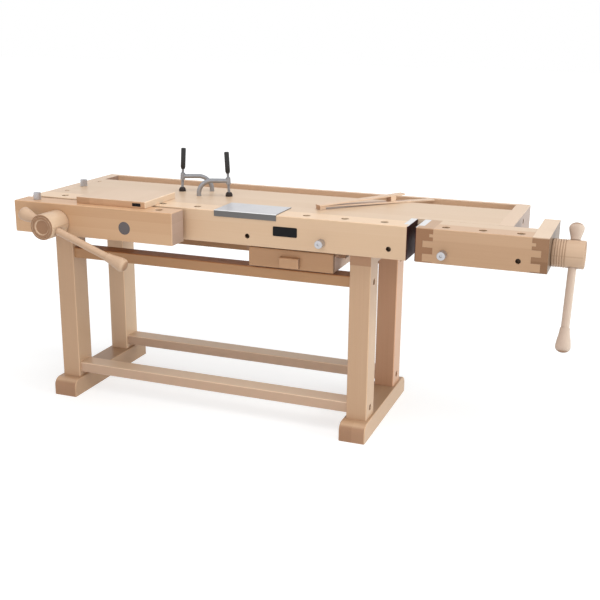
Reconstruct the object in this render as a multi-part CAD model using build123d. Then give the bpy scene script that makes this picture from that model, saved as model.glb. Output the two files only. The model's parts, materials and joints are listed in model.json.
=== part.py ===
from build123d import *
import os
from math import atan2, cos, degrees, radians, sin, tan

# A joiner's bench in beech: a trestle base, a top with a tool tray, a front vise and a tail vise.
# Sizes are in millimetres. While it is drawn, X runs from the top's left end, Y from the apron's
# front face to the back and Z from the floor. Every piece is moved to the shared origin when saved.

# Bench top
top_length = 2000
top_depth = 630
bench_height = 900
apron_height = 130
apron_thickness = 100
apron_length = 1635
slab_thickness = 50
cap_width = 56
rail_thickness = 28
tray_width = 118
tray_floor = 14
tray_groove = 8
tray_lap = 40
batten_width = 32
edge_ease = 2.5

# Holes for dogs, pegs and hold-downs
dog_hole_r = 15
peg_hole_r = 10
dog_row_y = 48
dog_row_start = 131
dog_row_pitch = 156.2
dog_row_count = 10
side_hole_x = 72
side_hole_ys = (150, 281, 412)
side_dog_index = 1
face_hole_drop = 92
face_hole_depth = 27
face_hole_xs = (994, 1568)
apron_peg_x = 1302
clamp_hole_x = 653
clamp_hole_ys = (395, 267)

# Trestle base
leg_width = 85
leg_depth = 104
leg_setback = 58
left_leg_x = 60
right_leg_x = 1401
leg_ease = 3
foot_width = 109
foot_height = 76
foot_length = 630
foot_round = 34
bearer_height = 52
tenon_thickness = 36
tenon_width = 50
foot_tenon = 40
bearer_tenon = 34
stretcher_width = 80
stretcher_height = 44
lower_stretcher_rise = 20
upper_stretcher_drop = 50
stub_length = 14
stub_shoulder = 10

# Bolts
bolt_r = 5
bolt_head_r = 9
bolt_head_height = 7
counterbore_r = 13
counterbore_depth = 12
bolt_reach = 60
barrel_r = 8
barrel_length = 32
barrel_setback = 45
left_cap_bolt_ys = (216, 346)
right_cap_bolt_ys = (224, 427)
cap_bolt_drop = 33

# Drawer
drawer_centre_x = 1155
drawer_width = 358
drawer_height = 77
drawer_hang = 17
drawer_y = 55
drawer_rear_gap = 27
drawer_front_t = 20
drawer_board_t = 14
drawer_bottom_t = 6
drawer_groove = 6
drawer_lip = 14
drawer_lip_height = 12
drawer_handle_size = (82, 22, 42)
drawer_handle_rise = 8
handle_round = 6
runner_web = 18
runner_ledge = 12
runner_setback = 55
runner_rear_gap = 5

# Vises
screw_r = 16
screw_drop = 76
hub_r = 52
hub_length = 116
hub_round = 4
hub_ring_r = 45
hub_ring_width = 4
hub_ring_depth = 3
hub_dish_r = 32
hub_dish_depth = 6
hub_bar_offset = 76
hub_socket = 60
hub_groove_count = 5
hub_groove_start = 10
hub_groove_pitch = 9
hub_groove_width = 2.5
hub_groove_depth = 2
collar_r = 22
collar_t = 10
bar_r = 15
far_knob_length = 90
knob_small_r = 18
knob_large_r = 27.5
knob_round = 20
knob_socket = 44
nut_r = 23
nut_length = 30
nut_flange_r = 25
nut_flange_t = 6

# Front vise
jaw_length = 730
jaw_thickness = 98
front_gap = 30
front_screw_x = 210
front_screw_reach = 368
front_bar_length = 516
front_near_knob = 82
front_bar_angle = -21
guide_x = 517
guide_r = 24
guide_head_r = 26
guide_head_t = 8
guide_length = 428
jaw_dog_x = 80
jaw_hole_x = 650

# Tail vise
tail_gap = 30
tail_length = 482
tail_slot = 159
tail_board_t = 90
tail_jaw_t = 64
tail_end_t = 60
tail_arm = 355
tail_cover_t = 26
finger_cuts = (5, 34, 59, 83)
finger_column = 26
finger_stub = (98, 109)
finger_stub_length = 14
tail_screw_y = 124
tail_screw_reach = 380
tail_bar_length = 475
tail_near_knob = 64
tail_bar_lean = 21
tail_hole_xs = (104, 240, 377)
tail_hole_y = 44
tail_peg_x = 106
tail_face_hole_x = 378
nut_block_front = 98
nut_block_height = 88
tail_guide_r = 15
tail_guide_y = 300
tail_guide_length = 375
tail_guide_socket = 45

# Steel jaw plates
plate_t = 3
plate_flange = 25
plate_front = 40
plate_edge = 2

# Loose pieces
name_x = 1103
name_drop = 81
name_size = (100, 38)
name_t = 1.5
steel_plate_x = 852
steel_plate_size = (264, 168)
steel_plate_t = 3
steel_plate_lip = 25
board_x = 273
board_y = -85
board_size = (317, 256, 27)
board_round = 3
dog_head_r = 15
dog_head_height = 30
dog_shank = 70
peg_head_r = 16
peg_head_length = 35
peg_shank = 25
peg_dimple_r = 5
peg_dimple_depth = 4
rod_r = 9.5
rod_below = 90
rod_rise = 9
rod_bend = 57
rod_reach = 129
boss_r = 10
boss_height = 28
spindle_r = 6
spindle_top = 104
spindle_lean = 3
grip_r = 10.5
grip_small_r = 7.5
grip_taper = 8
grip_bottom = 98
grip_top = 189
grip_round = 3
pad_r = 15
pad_top_r = 8
pad_height = 18
pad_rim = 5
pad_socket = 10
clamp_angles = (204, 19)
hook_rail_gap = 3.6
hook_high_length = 418
hook_width = 34
hook_t = 5
hook_rise = 10
hook_block = 26
hook_block_inset = 47
hook_high_lift = 12
hook_low_place = (1222, 298, 47)
hook_high_place = (1226, 312, 51)

# Clearances
snug = 0.05
running = 0.08
loose = 0.3
slide_gap = 0.5
bore_gap = 1
tail_side_gap = 2

# Levels and lines that follow from the sizes above
top_z = bench_height
under_z = bench_height - apron_height
slab_under_z = bench_height - slab_thickness
leg_top_z = under_z - bearer_height
lower_stretcher_z = foot_height + lower_stretcher_rise
upper_stretcher_z = leg_top_z - upper_stretcher_drop - stretcher_height
screw_z = top_z - screw_drop
face_hole_z = top_z - face_hole_drop
name_z = top_z - name_drop
drawer_z = under_z - drawer_hang - drawer_height
slab_back = top_depth - rail_thickness - tray_width
slab_right = top_length - cap_width
tray_floor_z = slab_under_z - tray_floor
tray_front = slab_back - tray_lap
front_leg_y = leg_setback
back_leg_y = top_depth - leg_setback - leg_depth
jaw_back = -front_gap
jaw_front = jaw_back - jaw_thickness
jaw_mid = (jaw_front + jaw_back) / 2
jaw_face_x = apron_length + plate_t
tail_x = jaw_face_x + tail_gap
tail_wood_x = tail_x + plate_t
tail_end_x = tail_x + tail_length
tail_back = tail_slot - tail_side_gap
hub_front = jaw_front - slide_gap - hub_length
hub_right = tail_end_x + slide_gap + hub_length
origin_x = hub_right / 2
origin_y = (hub_front + top_depth) / 2

right = (1, 0, 0)
back = (0, 1, 0)
forward = (0, -1, 0)
up = (0, 0, 1)
low_corner = (Align.MIN, Align.MIN, Align.MIN)
on_base = (Align.CENTER, Align.CENTER, Align.MIN)


def save(name, *pieces):
    """Moves a piece, or a group of like pieces, to the shared origin and writes it."""
    moved = []
    for piece in pieces:
        moved.extend((Pos(-origin_x, -origin_y, 0) * piece).solids())
    export_step(moved[0] if len(moved) == 1 else Compound(moved), f"parts/{name}.step")


def block(low, high):
    """A box between two opposite corners."""
    size = [b - a for a, b in zip(low, high)]
    return Pos(*low) * Box(*size, align=low_corner)


def rod(radius, start, direction, length):
    """A cylinder that starts at a point and runs along a direction."""
    return Plane(origin=start, z_dir=direction) * Cylinder(radius, length, align=on_base)


def turned(*points):
    """A solid of revolution about Z from radius and height pairs."""
    outline = [(0, points[0][1]), *points, (0, points[-1][1])]
    return revolve(Plane.XZ * make_face(Polyline(*outline, close=True)), Axis.Z)


def long_edges(shape, axis):
    """The straight edges that run along an axis."""
    return shape.edges().filter_by(axis)


def eased_edge(x_low, x_high, y, z, y_side, z_side):
    """The corner prism that eases one long edge of the top, with the sides that it cuts towards."""
    corner = [(y, z), (y + y_side * edge_ease, z), (y, z + z_side * edge_ease)]
    face = Plane.YZ * make_face(Polyline(*corner, close=True))
    return Pos(x_low, 0, 0) * extrude(face, amount=x_high - x_low, dir=right)


# Trestle base: feet, legs and bearers joined by mortise and tenon, stretchers drawn up by bolts
leg_mid_ys = (front_leg_y + leg_depth / 2, back_leg_y + leg_depth / 2)
leg_xs = {"left": left_leg_x, "right": right_leg_x}
inward = {"left": 1, "right": -1}
cap_bolt_ys = {"left": left_cap_bolt_ys, "right": right_cap_bolt_ys}
stretcher_zs = {"lower": lower_stretcher_z, "upper": upper_stretcher_z}
stretcher_start = left_leg_x + leg_width
stretcher_end = right_leg_x


def tenon(x_mid, y_mid, z_low, z_high):
    """The tongue that joins a leg to its foot or bearer."""
    half_x = tenon_thickness / 2
    half_y = tenon_width / 2
    return block((x_mid - half_x, y_mid - half_y, z_low), (x_mid + half_x, y_mid + half_y, z_high))


def leg_tenons(x_mid, y_mid):
    """Both tongues of one leg, into the foot below and the bearer above."""
    lower = tenon(x_mid, y_mid, foot_height - foot_tenon, foot_height)
    upper = tenon(x_mid, y_mid, leg_top_z, leg_top_z + bearer_tenon)
    return lower + upper


def stub(y_mid, z_low, x_low, x_high):
    """The stub tenon at a stretcher's end."""
    half = stretcher_width / 2 - stub_shoulder
    low = (x_low, y_mid - half, z_low + stub_shoulder)
    high = (x_high, y_mid + half, z_low + stretcher_height - stub_shoulder)
    return block(low, high)


def foot(side):
    x_mid = leg_xs[side] + leg_width / 2
    y_low = (top_depth - foot_length) / 2
    low = (x_mid - foot_width / 2, y_low, 0)
    body = block(low, (x_mid + foot_width / 2, y_low + foot_length, foot_height))
    ends = body.edges().filter_by(Axis.X).group_by(Axis.Z)[-1]
    body = fillet(ends, foot_round)
    body = chamfer(body.edges().filter_by(Axis.Y).group_by(Axis.Z)[-1], leg_ease)
    for y_mid in leg_mid_ys:
        body -= leg_tenons(x_mid, y_mid)
    return body


def bearer(side):
    x_low = leg_xs[side]
    low = (x_low, front_leg_y, leg_top_z)
    body = block(low, (x_low + leg_width, back_leg_y + leg_depth, under_z))
    for y_mid in leg_mid_ys:
        body -= leg_tenons(x_low + leg_width / 2, y_mid)
    return body


def leg(side, y_mid):
    x_low = leg_xs[side]
    half = leg_depth / 2
    body = block((x_low, y_mid - half, foot_height), (x_low + leg_width, y_mid + half, leg_top_z))
    body = chamfer(long_edges(body, Axis.Z), leg_ease)
    body += leg_tenons(x_low + leg_width / 2, y_mid)
    outer = x_low if side == "left" else x_low + leg_width
    inner = x_low + leg_width if side == "left" else x_low
    for z_low in stretcher_zs.values():
        z_mid = z_low + stretcher_height / 2
        axis = (inward[side], 0, 0)
        body -= rod(bolt_r + slide_gap, (outer, y_mid, z_mid), axis, leg_width)
        body -= rod(counterbore_r, (outer, y_mid, z_mid), axis, counterbore_depth)
        depth = inner - inward[side] * stub_length
        body -= stub(y_mid, z_low, min(inner, depth), max(inner, depth))
    return body


def stretcher(y_mid, z_low):
    half = stretcher_width / 2
    z_high = z_low + stretcher_height
    z_mid = (z_low + z_high) / 2
    body = block((stretcher_start, y_mid - half, z_low), (stretcher_end, y_mid + half, z_high))
    body = chamfer(long_edges(body, Axis.X), leg_ease)
    body += stub(y_mid, z_low, stretcher_start - stub_length, stretcher_start)
    body += stub(y_mid, z_low, stretcher_end, stretcher_end + stub_length)
    for x_end, side in ((stretcher_start, "left"), (stretcher_end, "right")):
        step = inward[side]
        start = (x_end - step * stub_length, y_mid, z_mid)
        body -= rod(bolt_r + slide_gap, start, (step, 0, 0), bolt_reach + bore_gap)
        nut_x = x_end + step * barrel_setback
        body -= rod(barrel_r + snug, (nut_x, y_mid, z_low), up, (stretcher_height + barrel_length) / 2)
    return body


def bolt(start, step, grip):
    """A round-headed bolt whose head sits in a counterbore, with the length that it clamps."""
    x, y, z = start
    head = rod(bolt_head_r, (x, y, z), (-step, 0, 0), bolt_head_height)
    return head + rod(bolt_r, (x, y, z), (step, 0, 0), grip)


def barrel_nut(x, y, z):
    """A cross dowel with the bolt's hole through it."""
    body = rod(barrel_r, (x, y, z - barrel_length / 2), up, barrel_length)
    return body - rod(bolt_r + snug, (x - barrel_r, y, z), right, 2 * barrel_r)


def frame_bolts():
    """The stretcher bolts with their barrel nuts, and the bolts of both end caps."""
    pieces = []
    for side in leg_xs:
        step = inward[side]
        outer = left_leg_x if side == "left" else right_leg_x + leg_width
        shoulder = stretcher_start if side == "left" else stretcher_end
        reach = leg_width - counterbore_depth + bolt_reach - stub_length
        for y_mid in leg_mid_ys:
            for z_low in stretcher_zs.values():
                z_mid = z_low + stretcher_height / 2
                pieces.append(bolt((outer + step * counterbore_depth, y_mid, z_mid), step, reach))
                pieces.append(barrel_nut(shoulder + step * barrel_setback, y_mid, z_mid))
        end = 0 if side == "left" else top_length
        for y in cap_bolt_ys[side]:
            seat = (end + step * counterbore_depth, y, top_z - cap_bolt_drop)
            pieces.append(bolt(seat, step, cap_width - counterbore_depth + bolt_reach))
    return pieces


# Bench top: a slab behind a deep front apron, end caps, a rear batten, and a tray with its rail
dog_row_xs = [dog_row_start + index * dog_row_pitch for index in range(dog_row_count)]
plate_recess_z = top_z - plate_t


def face_hole(x):
    """A blind hole for a support peg in a front face."""
    return rod(peg_hole_r, (x, 0, face_hole_z), back, face_hole_depth)


def cap_bolt_holes(side):
    """The holes of the bolts that hold one end cap to the slab."""
    end = 0 if side == "left" else top_length
    axis = (inward[side], 0, 0)
    holes = []
    for y in cap_bolt_ys[side]:
        start = (end, y, top_z - cap_bolt_drop)
        holes.append(rod(bolt_r + slide_gap, start, axis, cap_width + bolt_reach + bore_gap))
        holes.append(rod(counterbore_r, start, axis, counterbore_depth))
    return holes


def bench_plate_cut():
    """The shallow seat of the steel jaw plate's flange at the tail vise's gap."""
    low = (jaw_face_x - plate_flange, plate_front, plate_recess_z)
    return block(low, (apron_length, tail_slot, top_z))


def front_apron():
    body = block((0, 0, under_z), (apron_length, apron_thickness, top_z))
    body -= eased_edge(0, apron_length, 0, top_z, 1, -1)
    body -= eased_edge(0, apron_length, 0, under_z, 1, 1)
    for x in dog_row_xs:
        body -= rod(dog_hole_r, (x, dog_row_y, under_z), up, apron_height)
    for x in (*face_hole_xs, apron_peg_x):
        body -= face_hole(x)
    body -= rod(screw_r + bore_gap, (front_screw_x, 0, screw_z), back, apron_thickness)
    pocket = (front_screw_x, apron_thickness, screw_z)
    body -= rod(nut_r + snug, pocket, forward, nut_length)
    body -= rod(guide_r + running, (guide_x, 0, screw_z), back, apron_thickness)
    return body - bench_plate_cut()


def bench_jaw_block():
    """The block behind the apron that carries the bench's side of the tail vise's gap."""
    low = (apron_length - tail_end_t, apron_thickness, under_z)
    return block(low, (apron_length, tail_slot, slab_under_z))


def main_top():
    body = block((cap_width, apron_thickness, slab_under_z), (slab_right, slab_back, top_z))
    body -= block((apron_length, apron_thickness, slab_under_z), (slab_right, tail_slot, top_z))
    for y in side_hole_ys:
        body -= rod(peg_hole_r, (side_hole_x, y, slab_under_z), up, slab_thickness)
    for y in clamp_hole_ys:
        body -= rod(peg_hole_r, (clamp_hole_x, y, slab_under_z), up, slab_thickness)
    for side in leg_xs:
        for hole in cap_bolt_holes(side):
            body -= hole
    return body - bench_plate_cut()


def end_cap(side):
    x_low = 0 if side == "left" else slab_right
    y_low = apron_thickness if side == "left" else tail_slot
    body = block((x_low, y_low, under_z), (x_low + cap_width, top_depth, top_z))
    outer = body.edges().filter_by(Axis.Y).group_by(Axis.Z)[-1].sort_by(Axis.X)
    body = chamfer(outer[0] if side == "left" else outer[-1], edge_ease)
    for hole in cap_bolt_holes(side):
        body -= hole
    if side == "right":
        body -= rod(tail_guide_r + running, (x_low, tail_guide_y, screw_z), right, cap_width)
    return body


def rear_batten():
    low = (cap_width, tray_front - batten_width, under_z)
    return block(low, (slab_right, tray_front, slab_under_z))


def back_rail():
    y_low = top_depth - rail_thickness
    body = block((cap_width, y_low, under_z), (slab_right, top_depth, top_z))
    groove = block((cap_width, y_low, tray_floor_z), (slab_right, y_low + tray_groove, slab_under_z))
    return body - groove - eased_edge(cap_width, slab_right, top_depth, top_z, -1, -1)


def tray_bottom():
    y_high = top_depth - rail_thickness + tray_groove
    return block((cap_width, tray_front, tray_floor_z), (slab_right, y_high, slab_under_z))


def nameplate():
    low = (name_x, -name_t, name_z)
    return block(low, (name_x + name_size[0], 0, name_z + name_size[1]))


# Drawer hung from two runners under the slab
drawer_left = drawer_centre_x - drawer_width / 2
drawer_right = drawer_centre_x + drawer_width / 2
drawer_top = drawer_z + drawer_height
drawer_back_y = tray_front - batten_width - drawer_rear_gap
drawer_side_y = drawer_y + drawer_front_t
lip_z = drawer_top - drawer_lip_height
bottom_z = drawer_z + drawer_groove


def mirrored(shape):
    """The same piece on the drawer's other side."""
    return mirror(shape, about=Plane(origin=(drawer_centre_x, 0, 0), z_dir=right))


def drawer_bottom():
    low = (drawer_left + drawer_board_t - drawer_groove, drawer_side_y - drawer_groove, bottom_z)
    high_x = drawer_right - drawer_board_t + drawer_groove
    return block(low, (high_x, drawer_back_y, bottom_z + drawer_bottom_t))


def drawer_side():
    inner = drawer_left + drawer_board_t
    body = block((drawer_left, drawer_side_y, drawer_z), (inner, drawer_back_y, drawer_top))
    lip = block((drawer_left - drawer_lip, drawer_side_y, lip_z), (drawer_left, drawer_back_y, drawer_top))
    return body + lip - drawer_bottom()


def drawer_front():
    body = block((drawer_left, drawer_y, drawer_z), (drawer_right, drawer_side_y, drawer_top))
    return chamfer(body.faces().sort_by(Axis.Y)[0].edges(), edge_ease) - drawer_bottom()


def drawer_back():
    low = (drawer_left + drawer_board_t, drawer_back_y - drawer_board_t, bottom_z + drawer_bottom_t)
    return block(low, (drawer_right - drawer_board_t, drawer_back_y, drawer_top))


def drawer_handle():
    width, depth, height = drawer_handle_size
    low = (drawer_centre_x - width / 2, drawer_y - depth, drawer_z + drawer_handle_rise)
    body = block(low, (low[0] + width, drawer_y, low[2] + height))
    return fillet(body.faces().sort_by(Axis.Y)[0].edges(), handle_round)


def runner():
    """An L-shaped rail whose ledge carries the drawer's lip, under the slab on the left."""
    web_x = drawer_left - drawer_lip - slide_gap
    y_low = drawer_y + runner_setback
    y_high = drawer_back_y - runner_rear_gap
    ledge_top = lip_z - loose
    ledge_low = (web_x, y_low, ledge_top - runner_ledge)
    ledge = block(ledge_low, (drawer_left - slide_gap, y_high, ledge_top))
    web_low = (web_x - runner_web, y_low, ledge_top - runner_ledge)
    return ledge + block(web_low, (web_x, y_high, slab_under_z))


# Vise screws: each screw turns in its jaw, runs in a fixed nut and is turned by a bar in a round hub.
# They are drawn along Z from the jaw's outer face, with the bar along X, and then placed.
bar_angle = radians(front_bar_angle)
lean = radians(tail_bar_lean)
front_bar_way = (cos(bar_angle), 0, sin(bar_angle))
tail_bar_way = (0, -sin(lean), -cos(lean))
front_start = (front_screw_x, jaw_front - slide_gap, screw_z)
tail_start = (tail_end_x + slide_gap, tail_screw_y, screw_z)
front_place = Plane(origin=front_start, x_dir=front_bar_way, z_dir=forward)
tail_place = Plane(origin=tail_start, x_dir=tail_bar_way, z_dir=right)
knob_seat = hub_r + loose
bar_start = -knob_seat - knob_socket


def ring(outer_r, inner_r, z_low, height):
    """A plain ring about Z."""
    body = Cylinder(outer_r, height, align=on_base) - Cylinder(inner_r, height, align=on_base)
    return Pos(0, 0, z_low) * body


def vise_hub(grooves):
    body = Cylinder(hub_r, hub_length, align=on_base)
    body = fillet(body.edges().filter_by(GeomType.CIRCLE), hub_round)
    body -= ring(hub_ring_r, hub_ring_r - hub_ring_width, hub_length - hub_ring_depth, hub_ring_depth)
    body -= rod(hub_dish_r, (0, 0, hub_length - hub_dish_depth), up, hub_dish_depth)
    body -= rod(screw_r + snug, (0, 0, 0), up, hub_socket)
    body -= rod(bar_r + loose, (-hub_r, 0, hub_bar_offset), right, 2 * hub_r)
    for index in range(grooves):
        z_low = hub_groove_start + index * hub_groove_pitch
        body -= ring(hub_r, hub_r - hub_groove_depth, z_low, hub_groove_width)
    return body


def vise_screw(reach, jaw):
    """The screw with the collar that draws its jaw back, for a jaw of a given thickness."""
    body = rod(screw_r, (0, 0, -reach), up, reach + hub_socket)
    return body + rod(collar_r, (0, 0, -jaw), up, collar_t)


def far_knob_x(length, near_knob):
    """Where the far bar end starts, for a bar of a given length over both ends and its near end's length."""
    return length - near_knob - far_knob_length - knob_seat


def vise_bar(length, near_knob):
    bar_end = far_knob_x(length, near_knob) + knob_socket
    return rod(bar_r, (bar_start, 0, hub_bar_offset), right, bar_end - bar_start)


def knob(length):
    """A bell-shaped bar end with a socket for the bar, drawn upwards from its small end."""
    neck = (knob_small_r, 0)
    shoulder = (knob_large_r, length - knob_round)
    rim = (knob_large_r - knob_round, length)
    mid = shoulder[1] / 2
    flare = Bezier(neck, (knob_small_r, mid), (knob_large_r, mid), shoulder)
    crown = TangentArc(shoulder, rim, tangent=(0, 1))
    inside = Polyline(rim, (0, length), (0, 0), neck)
    body = revolve(Plane.XZ * make_face([flare, crown, inside]), Axis.Z)
    return body - rod(bar_r + snug, (0, 0, 0), up, knob_socket)


def vise_knobs(place, length, near_knob):
    """Both bar ends: one against the hub, one at the bar's far end."""
    near = Plane(origin=(-knob_seat, 0, hub_bar_offset), z_dir=(-1, 0, 0))
    far = Plane(origin=(far_knob_x(length, near_knob), 0, hub_bar_offset), z_dir=right)
    return [place * (near * knob(near_knob)), place * (far * knob(far_knob_length))]


def vise_nut(place):
    """A flanged nut that sits in its pocket with the flange outside."""
    body = rod(nut_r, (0, 0, -nut_length), up, nut_length)
    body += rod(nut_flange_r, (0, 0, 0), up, nut_flange_t)
    return place * (body - rod(screw_r + running, (0, 0, -nut_length), up, nut_length + nut_flange_t))


def vise_nuts():
    front = vise_nut(Plane(origin=(front_screw_x, apron_thickness, screw_z), z_dir=back))
    tail = vise_nut(Plane(origin=(slab_right, tail_screw_y, screw_z), z_dir=(-1, 0, 0)))
    return [front, tail]


def collar_pocket(place, jaw):
    """The bore of the screw through a jaw, with the pocket of its collar."""
    bore = rod(screw_r + slide_gap, (0, 0, -jaw - slide_gap), up, jaw + slide_gap)
    pocket_depth = collar_t + slide_gap + loose
    pocket = rod(collar_r + slide_gap, (0, 0, -jaw - slide_gap), up, pocket_depth)
    return place * (bore + pocket)


# Front vise jaw with its guide rod
def front_jaw():
    body = block((0, jaw_front, under_z), (jaw_length, jaw_back, top_z))
    body = chamfer(body.edges(), edge_ease)
    body -= collar_pocket(front_place, jaw_thickness)
    body -= rod(guide_r + snug, (guide_x, jaw_front, screw_z), back, jaw_thickness)
    body -= rod(guide_head_r + snug, (guide_x, jaw_front, screw_z), back, guide_head_t)
    body -= rod(dog_hole_r, (jaw_hole_x, jaw_mid, under_z), up, apron_height)
    return body - rod(peg_hole_r, (jaw_dog_x, jaw_mid, under_z), up, apron_height)


def front_guide_rod():
    start = (guide_x, jaw_front, screw_z)
    return rod(guide_r, start, back, guide_length) + rod(guide_head_r, start, back, guide_head_t)


# Tail vise: a front board finger-jointed to a jaw block and to an end block with a long arm
def across(x_from, x_to, z_low, z_high):
    """A box through the front board's thickness, from one X place to another."""
    low = (min(x_from, x_to), 0, under_z + z_low)
    return block(low, (max(x_from, x_to), tail_board_t, under_z + z_high))


def fingers(shoulder, end):
    """A block's share of a corner joint: a column at the end and every other finger, from the shoulder."""
    step = 1 if end > shoulder else -1
    levels = (0, *finger_cuts, apron_height)
    body = across(end - step * finger_column, end, 0, apron_height)
    for z_low, z_high in zip(levels[::2], levels[1::2]):
        body += across(shoulder, end, z_low, z_high)
    return body - across(shoulder, shoulder + step * finger_stub_length, *finger_stub)


def tail_eased(body):
    """Eases the long front edges that run over the joints."""
    body -= eased_edge(tail_wood_x, tail_end_x, 0, top_z, 1, -1)
    return body - eased_edge(tail_wood_x, tail_end_x, 0, under_z, 1, 1)


def tail_front_board():
    body = block((tail_wood_x, 0, under_z), (tail_end_x, tail_board_t, top_z))
    body -= fingers(tail_wood_x + tail_jaw_t, tail_wood_x)
    body -= fingers(tail_end_x - tail_end_t, tail_end_x)
    for x in tail_hole_xs:
        body -= rod(dog_hole_r, (tail_x + x, tail_hole_y, under_z), up, apron_height)
    for x in (tail_peg_x, tail_face_hole_x):
        body -= face_hole(tail_x + x)
    return tail_eased(body)


def tail_jaw_block():
    x_high = tail_wood_x + tail_jaw_t
    body = block((tail_wood_x, tail_board_t, under_z), (x_high, tail_back, top_z))
    body += fingers(x_high, tail_wood_x)
    flange = block((tail_wood_x, plate_front, plate_recess_z), (tail_x + plate_flange, tail_back, top_z))
    return tail_eased(body) - flange


def tail_end_block():
    x_low = tail_end_x - tail_end_t
    body = block((x_low, tail_board_t, under_z), (tail_end_x, tail_arm, top_z))
    body += fingers(x_low, tail_end_x)
    body -= collar_pocket(tail_place, tail_end_t)
    body -= rod(tail_guide_r + snug, (x_low, tail_guide_y, screw_z), right, tail_guide_socket)
    return tail_eased(body)


def tail_cover():
    low = (tail_wood_x + tail_jaw_t, tail_board_t, top_z - tail_cover_t)
    return block(low, (tail_end_x - tail_end_t, tail_back, top_z))


def tail_nut_block():
    half = nut_block_height / 2
    low = (slab_right, nut_block_front, screw_z - half)
    body = block(low, (top_length, tail_slot, screw_z + half))
    start = (slab_right, tail_screw_y, screw_z)
    body -= rod(screw_r + bore_gap, start, right, cap_width)
    return body - rod(nut_r + snug, start, right, nut_length)


def tail_guide_rod():
    x_high = tail_end_x - tail_end_t + tail_guide_socket
    return rod(tail_guide_r, (x_high, tail_guide_y, screw_z), (-1, 0, 0), tail_guide_length)


def jaw_plate(x_face, x_flange, y_high):
    """A steel angle: an upright face on the wood's end and a flange let into the top."""
    x_wood = x_face + plate_t if x_flange > x_face else x_face - plate_t
    upright_low = (min(x_face, x_wood), plate_edge, under_z + plate_edge)
    upright = block(upright_low, (max(x_face, x_wood), y_high, top_z))
    flange_low = (min(x_face, x_flange), plate_front, plate_recess_z)
    return upright + block(flange_low, (max(x_face, x_flange), y_high, top_z))


# Loose pieces that come with the bench
def edge_plate():
    """A steel sheet bent over the apron's front edge."""
    width, depth = steel_plate_size
    x_high = steel_plate_x + width
    plate_z = top_z + steel_plate_t
    sheet = block((steel_plate_x, -steel_plate_t, top_z), (x_high, depth - steel_plate_t, plate_z))
    return sheet + block((steel_plate_x, -steel_plate_t, plate_z - steel_plate_lip), (x_high, 0, top_z))


def bench_board():
    width, depth, height = board_size
    body = block((board_x, board_y, top_z), (board_x + width, board_y + depth, top_z + height))
    return fillet(body.edges(), board_round)


def steel_dog(x, y):
    shank = rod(peg_hole_r - loose, (x, y, top_z - dog_shank), up, dog_shank)
    head = rod(dog_head_r, (x, y, top_z), up, dog_head_height)
    head = chamfer(head.edges().filter_by(GeomType.CIRCLE).sort_by(Axis.Z)[-1], edge_ease)
    return head + shank


def face_peg(x):
    shank = rod(peg_hole_r - loose, (x, 0, face_hole_z), back, peg_shank)
    head = rod(peg_head_r, (x, 0, face_hole_z), forward, peg_head_length)
    head = chamfer(head.edges().filter_by(GeomType.CIRCLE).sort_by(Axis.Y)[0], edge_ease)
    dimple = rod(peg_dimple_r, (x, -peg_head_length, face_hole_z), back, peg_dimple_depth)
    return head + shank - dimple


# Hold-downs, drawn with the post along Z at the origin and the arm along X from the bench top up
pad_pivot = pad_height - pad_socket / 2
arm_z = rod_rise + rod_bend
boss_x = rod_reach - (arm_z - pad_pivot) * tan(radians(spindle_lean))


def clamp_place(index):
    return Pos(clamp_hole_x, clamp_hole_ys[index], top_z) * Rot(0, 0, clamp_angles[index])


def leaned(shape):
    """Leans what is drawn about an upright spindle, over the middle of its pad's socket."""
    return Pos(rod_reach, 0, pad_pivot) * Rot(0, -spindle_lean, 0) * Pos(0, 0, -pad_pivot) * shape


def clamp_arm():
    post = Line((0, 0, -rod_below), (0, 0, rod_rise))
    bend = TangentArc((0, 0, rod_rise), (rod_bend, 0, arm_z), tangent=up)
    reach = Line((rod_bend, 0, arm_z), (boss_x, 0, arm_z))
    path = Wire([post, bend, reach])
    body = sweep(Pos(0, 0, -rod_below) * Circle(rod_r), path)
    body += leaned(rod(boss_r, (0, 0, arm_z - boss_height / 2), up, boss_height))
    return body - leaned(rod(spindle_r + running, (0, 0, 0), up, arm_z + boss_height))


def clamp_spindle():
    start = pad_height - pad_socket + slide_gap
    body = rod(spindle_r, (0, 0, start), up, spindle_top - start)
    grip = turned((grip_small_r, grip_bottom), (grip_r, grip_bottom + grip_taper), (grip_r, grip_top))
    grip = fillet(grip.edges().filter_by(GeomType.CIRCLE).sort_by(Axis.Z)[-1], grip_round)
    return leaned(body + grip)


def clamp_pad():
    rim = (pad_r, pad_rim)
    crown = (pad_top_r, pad_height)
    dome = TangentArc(rim, crown, tangent=(0, 1))
    inside = Polyline(crown, (0, pad_height), (0, 0), (pad_r, 0), rim)
    body = revolve(Plane.XZ * make_face([dome, inside]), Axis.Z)
    socket = rod(spindle_r + bore_gap, (0, 0, pad_height - pad_socket), up, pad_socket)
    return Pos(rod_reach, 0, 0) * (body - socket)


# A pair of thin bench hooks, each a lath with a block under one end, lying across each other.
# The lower one slopes down from its block to the slab's rear edge. The upper one rises to its own block.
def low_hook():
    x, setback, angle = hook_low_place
    y = slab_back - setback
    turn = radians(angle)
    rail_y = top_depth - rail_thickness - hook_rail_gap
    length = (rail_y - y - hook_width / 2 * cos(turn)) / sin(turn)
    edge_reach = (slab_back - y + hook_width / 2 * cos(turn)) / sin(turn)
    slope = degrees(atan2(hook_rise, edge_reach))
    lath = Box(length, hook_width, hook_t, align=low_corner)
    lath = Pos(0, -hook_width / 2, hook_rise) * Rot(0, slope, 0) * lath
    end_block = Pos(0, -hook_width / 2, 0) * Box(hook_block, hook_width, hook_rise, align=low_corner)
    return Pos(x, y, top_z) * Rot(0, 0, angle) * (lath + (end_block - lath))


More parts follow.
